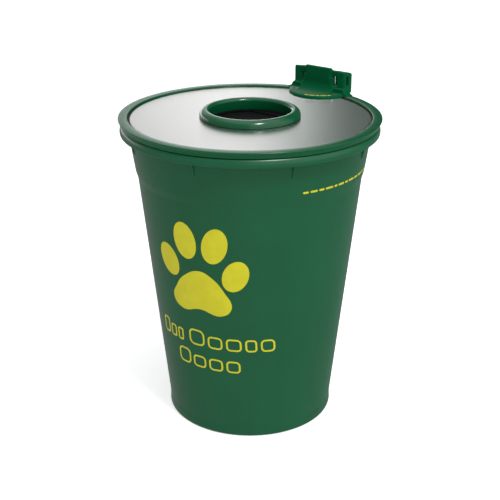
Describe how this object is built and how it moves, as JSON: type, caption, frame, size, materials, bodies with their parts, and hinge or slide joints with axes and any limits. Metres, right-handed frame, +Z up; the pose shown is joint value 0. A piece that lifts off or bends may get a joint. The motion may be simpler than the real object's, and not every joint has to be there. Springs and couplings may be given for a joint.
{
  "type": "dog waste bin",
  "caption": "Tapered round dog waste bin with a lift-off ring lid, stainless cover plate, raised throat with a sprung odour flap, and a moulded saddle for strapping the lid to a post.",
  "frame": {"origin": "on the bin's axis, at the floor that it stands on", "axes": "+Z up; +Y towards the post saddle at the back; the printed front faces about -Y"},
  "size_m": [0.3998, 0.4069, 0.528],
  "materials": {
    "green_plastic": "dark green injection-moulded polypropylene, satin with soft gloss on the rims",
    "satin_steel": "stainless sheet, fine satin polish",
    "black_plastic": "black moulded plastic, fine matt texture",
    "black_rubber": "matt black gasket rubber",
    "zinc_steel": "bright zinc-plated steel",
    "yellow_print": "printed yellow ink film"
  },
  "bodies": {
    "bin": {"bin_body": "green_plastic"},
    "hoop": {"bag_hoop": "zinc_steel"},
    "lid": {"lid_ring": "green_plastic", "plate_gasket": "black_rubber", "cover_plate": "satin_steel", "plate_nut_1": "zinc_steel", "plate_nut_2": "zinc_steel", "plate_nut_3": "zinc_steel", "plate_nut_4": "zinc_steel", "plate_nut_5": "zinc_steel", "plate_nut_6": "zinc_steel", "throat_collar": "green_plastic", "collar_gasket": "black_rubber", "collar_lock_ring": "black_plastic", "flap_frame": "black_plastic", "flap_pin": "zinc_steel", "pin_clip_left": "zinc_steel", "pin_clip_right": "zinc_steel", "post_saddle": "green_plastic", "saddle_screw_1": "zinc_steel", "saddle_screw_2": "zinc_steel", "saddle_screw_3": "zinc_steel", "saddle_screw_4": "zinc_steel"},
    "flap": {"throat_flap": "black_plastic", "flap_spring_left": "zinc_steel", "flap_spring_right": "zinc_steel"}
  },
  "joints": [
    {"name": "lid_lift", "type": "slide", "parent": "bin", "child": "lid", "axis": [0, 0, 1], "range_m": [0, 0.2]},
    {"name": "hoop_lift", "type": "slide", "parent": "bin", "child": "hoop", "axis": [0, 0, 1], "range_m": [0, 0.055]},
    {"name": "flap_swing", "type": "hinge", "parent": "lid", "child": "flap", "pos_m": [0, 0.0485, 0.4695], "axis": [1, 0, 0], "range_deg": [0, 78], "stiffness_Nm_per_rad": 0.03, "springref_deg": -51.57}
  ]
}
